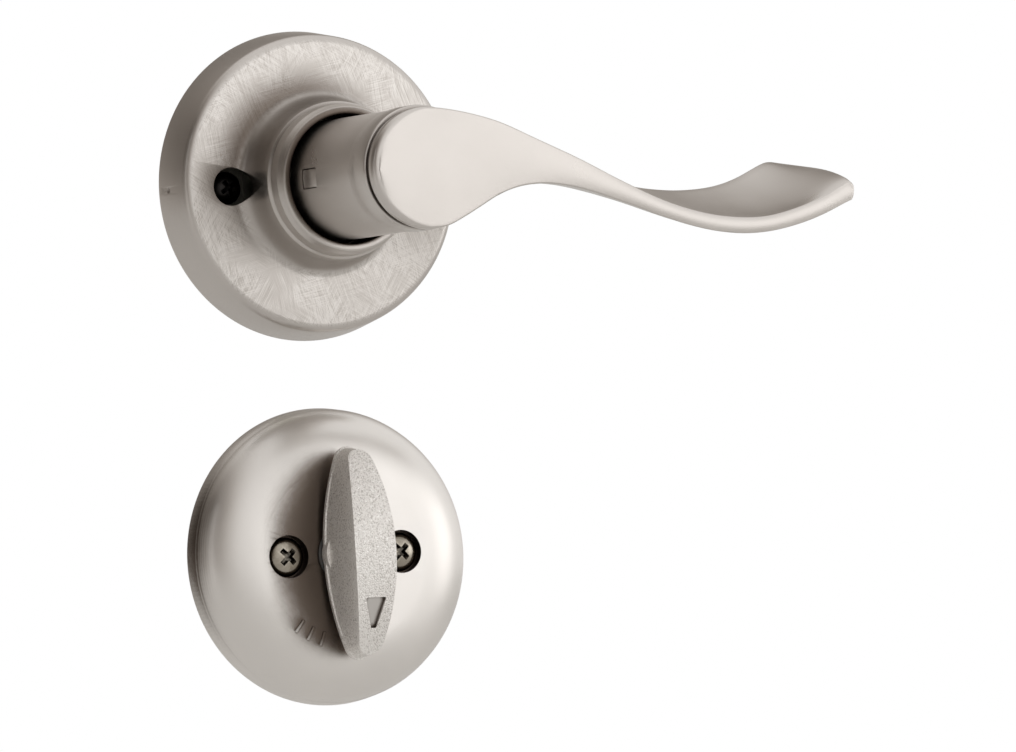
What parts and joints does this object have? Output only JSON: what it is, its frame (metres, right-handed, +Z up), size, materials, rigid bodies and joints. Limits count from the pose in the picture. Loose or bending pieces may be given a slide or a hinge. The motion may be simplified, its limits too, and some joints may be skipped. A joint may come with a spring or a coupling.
{
  "type": "door lever handle with thumbturn",
  "caption": "Interior door trim: a wave shaped lever on a round rose, with a deadbolt thumbturn on a domed rose below it.",
  "frame": {"origin": "on the lever's axis, in the plane of the door's face", "axes": "+Y into the door along the lever's axis, +Z up, +X along the lever"},
  "size_m": [0.1357, 0.108, 0.1457],
  "materials": {
    "satin_nickel": "satin nickel plate, smooth",
    "brushed_nickel": "satin nickel plate, brushed face",
    "cast_nickel": "nickel plate over a granular casting",
    "zinc_plate": "zinc plated pressed steel",
    "screw_nickel": "bright nickel plated screws",
    "dark_screw": "blackened screws",
    "bush_plastic": "black acetal bush",
    "spring_steel": "oiled spring steel"
  },
  "bodies": {
    "mount": {"lever_rose": "brushed_nickel", "lever_plate": "zinc_plate", "bearing_bush": "bush_plastic", "spring_cage": "zinc_plate", "return_spring": "spring_steel", "lever_screws": "dark_screw", "turn_rose": "satin_nickel", "turn_plate": "zinc_plate", "turn_bush": "bush_plastic", "turn_washer": "spring_steel", "turn_screws": "screw_nickel", "position_marks": "satin_nickel"},
    "lever": {"lever": "satin_nickel", "drive_tube": "zinc_plate", "drive_washer": "zinc_plate", "spindle": "zinc_plate", "retaining_ring": "spring_steel", "thrust_washer": "zinc_plate", "catch_spring": "spring_steel"},
    "catch": {"catch_button": "satin_nickel"},
    "turn": {"turn_piece": "cast_nickel", "turn_shaft": "zinc_plate", "turn_clip": "spring_steel", "tailpiece": "zinc_plate"}
  },
  "joints": [
    {"name": "lever_swing", "type": "hinge", "parent": "mount", "child": "lever", "pos_m": [0, 0, 0], "axis": [0, 1, 0], "range_deg": [-45, 45], "stiffness_Nm_per_rad": 2.3, "deforming": ["return_spring"]},
    {"name": "catch_press", "type": "slide", "parent": "lever", "child": "catch", "axis": [1, 0, 0], "range_m": [0, 0.0029], "stiffness_N_per_m": 500, "springref_m": -0.001, "deforming": ["catch_spring"]},
    {"name": "turn_quarter", "type": "hinge", "parent": "mount", "child": "turn", "pos_m": [0, 0, -0.0801], "axis": [0, 1, 0], "range_deg": [0, 90]}
  ]
}
